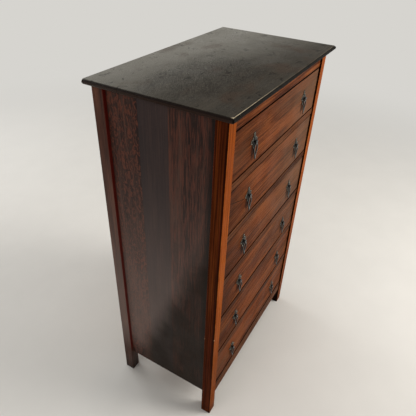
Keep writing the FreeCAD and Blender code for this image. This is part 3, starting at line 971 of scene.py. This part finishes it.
def plate_outline():
    tip_x, tip_z = lobe_half, plate_height / 2 - tip_lobe_reach
    side_x, side_z = plate_width / 2 - side_lobe_reach, lobe_half
    waist_x = (tip_x + side_x) / 2 - waist_pull
    waist_z = (tip_z + side_z) / 2 - waist_pull
    stops = [
        ((tip_x, tip_z), (waist_x, waist_z)), ((side_x, side_z), (plate_width / 2, 0)),
        ((side_x, -side_z), (waist_x, -waist_z)), ((tip_x, -tip_z), (0, -plate_height / 2)),
        ((-tip_x, -tip_z), (-waist_x, -waist_z)), ((-side_x, -side_z), (-plate_width / 2, 0)),
        ((-side_x, side_z), (-waist_x, waist_z)), ((-tip_x, tip_z), (0, plate_height / 2)),
    ]
    points = []
    for index, (start, middle) in enumerate(stops):
        points += arc(start, middle, stops[(index + 1) % len(stops)][0], lobe_steps)
    return points


def evenly_along(points, pitch):
    """Places about a pitch apart along a closed line of points."""
    ends = points[1:] + points[:1]
    lengths = [math.dist(a, b) for a, b in zip(points, ends)]
    count = round(sum(lengths) / pitch)
    places = []
    walked = 0.0
    for start, end, length in zip(points, ends, lengths):
        while len(places) < count and len(places) * sum(lengths) / count < walked + length:
            share = (len(places) * sum(lengths) / count - walked) / length
            places.append(tuple(Vector(start).lerp(Vector(end), share)))
        walked += length
    return places


def backplate_parts():
    """A lobed plate with a rim, a groove inside it and a domed field."""
    edge = plate_outline()
    rings = [[(x * scale, pivot_reach - height, z * scale) for x, z in edge]
             for scale, height in plate_profile]
    return [(rings, False)]


def bead_parts():
    """A row of small beads in the groove round the plate."""
    groove = pivot_reach - groove_height
    line = [(x * bead_line, z * bead_line) for x, z in plate_outline()]
    return [(turned(bead_profile, lambda a, b, d, x=x, z=z: (x + a, groove - d, z + b), bead_steps), False)
            for x, z in evenly_along(line, bead_pitch)]


def bolt_parts():
    """A turned collar and neck with an eye, and a threaded shank behind."""
    inner_end = pivot_reach + front_thickness + nut_height + shank_beyond_nut
    root_radius = shank_radius - thread_depth
    profile = [(0.9 * mm, inner_end), (root_radius, inner_end - 0.4 * mm)]
    thread = inner_end - 0.8 * mm
    while thread > inner_end - thread_length:
        profile += [(shank_radius, thread), (root_radius, thread - thread_pitch / 2)]
        thread -= thread_pitch
    profile += [(shank_radius, thread), (shank_radius, pivot_reach - collar_foot)]
    profile += [(radius, pivot_reach - height) for radius, height in collar_profile]
    shank = turned(profile, lambda a, b, d: (a, d, b), shank_steps)
    middle = (eye_radius + bore_radius) / 2
    half = (eye_radius - bore_radius) / 2
    one_side = [(0.7, -half), (1.0, -half * 0.6), (1.0, half * 0.5), (0.6, half)]
    section = [(eye_half_width * share, r) for share, r in one_side]
    section += [(-x, r) for x, r in reversed(section)]
    eye = [[(x, (middle + r) * math.cos(turn), (middle + r) * math.sin(turn)) for x, r in section]
           for turn in even_turns(eye_steps)]
    return [(shank, False), (eye, True)]


def nut_parts():
    """A square nut with its corners taken off and its edges eased."""
    near = pivot_reach + front_thickness
    far = near + nut_height
    rings = []
    for half, y in ((nut_half * nut_end_share, near), (nut_half, near + nut_chamfer),
                    (nut_half, far - nut_chamfer), (nut_half * nut_end_share, far)):
        cut = half - nut_corner_cut
        rings.append([(half, y, cut), (cut, y, half), (-cut, y, half), (-half, y, cut),
                      (-half, y, -cut), (-cut, y, -half), (cut, y, -half), (half, y, -cut)])
    return [(rings, False)]


def loop_edge(top, foot, half_width, foot_half):
    """One edge of the loop: arched above its widest level, and tapered below it."""
    shoulder = (half_width * 0.72, -(top + (loop_widest - top) * 0.33))
    taper = ((half_width + foot_half) / 2 + 0.8 * mm, -(loop_widest + foot) / 2)
    right = arc((0, -top), shoulder, (half_width, -loop_widest), shoulder_steps)
    right += arc((half_width, -loop_widest), taper, (foot_half, -foot), taper_steps)
    right.append((foot_half, -foot))
    left = [(-x, z) for x, z in right[:0:-1]]
    return right + left


def loop_ring():
    """The open drop, as rounded sections between its outer and its inner edge."""
    outer = loop_edge(top=4.8 * mm, foot=49 * mm, half_width=11.6 * mm, foot_half=1.7 * mm)
    inner = loop_edge(top=8.5 * mm, foot=42 * mm, half_width=7.9 * mm, foot_half=0.4 * mm)
    ring = []
    for (outer_x, outer_z), (inner_x, inner_z) in zip(outer, inner):
        middle_x, half_x = (outer_x + inner_x) / 2, (outer_x - inner_x) / 2
        middle_z, half_z = (outer_z + inner_z) / 2, (outer_z - inner_z) / 2
        ring.append([(middle_x + half_x * math.cos(turn), -loop_half_thickness * math.sin(turn),
                      middle_z + half_z * math.cos(turn)) for turn in even_turns(section_steps)])
    return ring


def fork_cheek(side):
    """One cheek of the fork, round the pin above and tapered into the loop below."""
    turns = [math.pi * index / cheek_steps for index in range(cheek_steps + 1)]
    outline = [(eye_radius * math.cos(turn), eye_radius * math.sin(turn)) for turn in turns]
    outline += [(-cheek_half_foot, -cheek_foot), (cheek_half_foot, -cheek_foot)]
    return [[(side * x, y * scale, z * scale) for y, z in outline] for scale, x in cheek_profile]


def loop_parts():
    """The open drop, its fork and pin, and a turned finial."""
    reach = cheek_outside + pin_beyond_cheek
    pin = [(0.5 * mm, -reach), (pin_radius, -reach + 0.4 * mm), (pin_radius, reach - 0.4 * mm),
           (0.5 * mm, reach)]
    return [
        (loop_ring(), True),
        (fork_cheek(-1), False),
        (fork_cheek(1), False),
        (turned(pin, lambda a, b, d: (d, a, b), pin_steps), False),
        (turned(finial_profile, lambda a, b, d: (a, b, -d), finial_steps), False),
    ]


def make_handles():
    bead_brass = aged_brass("brass_beads", rubbed_beads, bright_metal)
    loop_brass = aged_brass("brass_loops", rubbed_loops, worn_metal)
    for number in drawer_numbers:
        body = f"drawer_{number}"
        plate_brass = aged_brass(f"brass_plates_{number}", rubbed_plates, worn_metal,
                                 pivots[f"{body}_loop_left"])
        for side in sides:
            at = pivots[f"{body}_loop_{side}"]
            plate = add_piece(f"{body}_plate_{side}", backplate_parts(), at, plate_brass, body)
            add_piece(f"{body}_beads_{side}", bead_parts(), at, bead_brass, body)
            add_piece(f"{body}_bolt_{side}", bolt_parts(), at, plate_brass, body)
            add_piece(f"{body}_nut_{side}", nut_parts(), at, plate_brass, body)
            drop = add_piece(f"{body}_drop_{side}", loop_parts(), at, loop_brass, f"{body}_loop_{side}")
            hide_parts(f"{body}_loop_{side}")
            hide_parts(f"{body}_backplates")


# Pins that hold the back panel

pin_head_radius = 2.2 * mm
pin_head_height = 0.7 * mm
pin_head_steps = 12
pin_margin = 9 * mm
pin_spacing = 125 * mm


def make_back_pins(material):
    low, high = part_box("back_panel")
    head = [(pin_head_radius, -0.1 * mm), (pin_head_radius, 0.25 * mm),
            (pin_head_radius * 0.7, 0.55 * mm), (pin_head_radius * 0.3, pin_head_height)]
    left, right = low.x + pin_margin, high.x - pin_margin
    foot, top = low.z + pin_margin, high.z - pin_margin
    rows = round((top - foot) / pin_spacing)
    columns = round((right - left) / pin_spacing)
    places = [(x, foot + (top - foot) * row / rows) for row in range(rows + 1) for x in (left, right)]
    places += [(left + (right - left) * column / columns, z)
               for column in range(1, columns) for z in (foot, top)]
    parts = [(turned(head, lambda a, b, d, x=x, z=z: (x + a, high.y + d, z + b), pin_head_steps), False)
             for x, z in places]
    add_piece("back_panel_pins", parts, Vector(), material, "carcass")


# Stage and light

floor_reach = 14.0
floor_tone = (230, 227, 221)
floor_mottle = 0.96
backdrop_tone = (214, 212, 207)
floor_fade = (1.2, 4.0)
surround_fill = 0.34
lamp_aim = (0, 0, 0.7)

# Lamps, as (name, place, width, watts, tint)
lamps = [
    ("front_window", (1.4, -3.2, 2.2), 2.0, 125, (1.0, 0.97, 0.93)),
    ("left_fill", (-3.0, 0.6, 2.4), 2.6, 24, (0.95, 0.97, 1.0)),
    ("ceiling", (0.3, 0.2, 4.2), 3.0, 34, (1, 1, 1)),
    ("back_fill", (0.5, 3.4, 2.0), 2.4, 45, (1, 1, 1)),
]


def background_rays(tree):
    """1 for the rays that show the background: camera, glossy and transmission rays."""
    path = tree.nodes.new("ShaderNodeLightPath")
    seen = path.outputs["Is Camera Ray"]
    for ray in ("Is Glossy Ray", "Is Transmission Ray"):
        either = tree.nodes.new("ShaderNodeMath")
        either.operation = "MAXIMUM"
        tree.links.new(seen, either.inputs[0])
        tree.links.new(path.outputs[ray], either.inputs[1])
        seen = either.outputs[0]
    return seen


def make_floor():
    mesh = bpy.data.meshes.new("floor")
    shape = bmesh.new()
    bmesh.ops.create_grid(shape, x_segments=1, y_segments=1, size=floor_reach)
    shape.to_mesh(mesh)
    shape.free()
    floor = bpy.data.objects.new("floor", mesh)
    bpy.context.scene.collection.objects.link(floor)
    graph = Graph("floor")
    mottle = graph.noise(graph.point, scale=5, detail=6)
    light = painted(*floor_tone)
    dark = painted(*[floor_mottle * part for part in floor_tone])
    mesh.materials.append(graph.finish(graph.mix(mottle, dark, light), 0.7, specular=0.3))
    far = graph.ramp(graph.length(*graph.place), *floor_fade)
    glow = graph.node("ShaderNodeEmission", {"Color": painted(*backdrop_tone)})
    share = graph.times(far, background_rays(graph.tree))
    blended = graph.node("ShaderNodeMixShader", {0: share, 1: graph.shader.outputs[0], 2: glow.outputs[0]})
    graph.link(blended.outputs[0], graph.tree.nodes["Material Output"].inputs["Surface"])


def make_world():
    """A pale surround: as bright as it looks to the camera and in gloss, and dimmer as a light."""
    world = bpy.data.worlds.new("surround")
    world.use_nodes = True
    tree = world.node_tree
    background = tree.nodes["Background"]
    background.inputs["Color"].default_value = painted(*backdrop_tone)
    strength = tree.nodes.new("ShaderNodeMapRange")
    tree.links.new(background_rays(tree), strength.inputs["Value"])
    strength.inputs["To Min"].default_value = surround_fill
    strength.inputs["To Max"].default_value = 1.0
    tree.links.new(strength.outputs["Result"], background.inputs["Strength"])
    bpy.context.scene.world = world


def make_lamp(name, place, width, watts, tint):
    data = bpy.data.lights.new(name, "AREA")
    data.shape = "DISK"
    data.size = width
    data.energy = watts
    data.color = tint
    lamp = bpy.data.objects.new(name, data)
    lamp.location = place
    lamp.rotation_mode = "QUATERNION"
    lamp.rotation_quaternion = (Vector(lamp_aim) - Vector(place)).to_track_quat("-Z", "Y")
    bpy.context.scene.collection.objects.link(lamp)


make_camera()
make_floor()
make_world()
for lamp in lamps:
    make_lamp(*lamp)
dress_boards()
make_handles()
screw_steel = steel("screws")
dress("top_screws", screw_steel)
make_back_pins(screw_steel)

bpy.context.scene.view_settings.view_transform = "Standard"
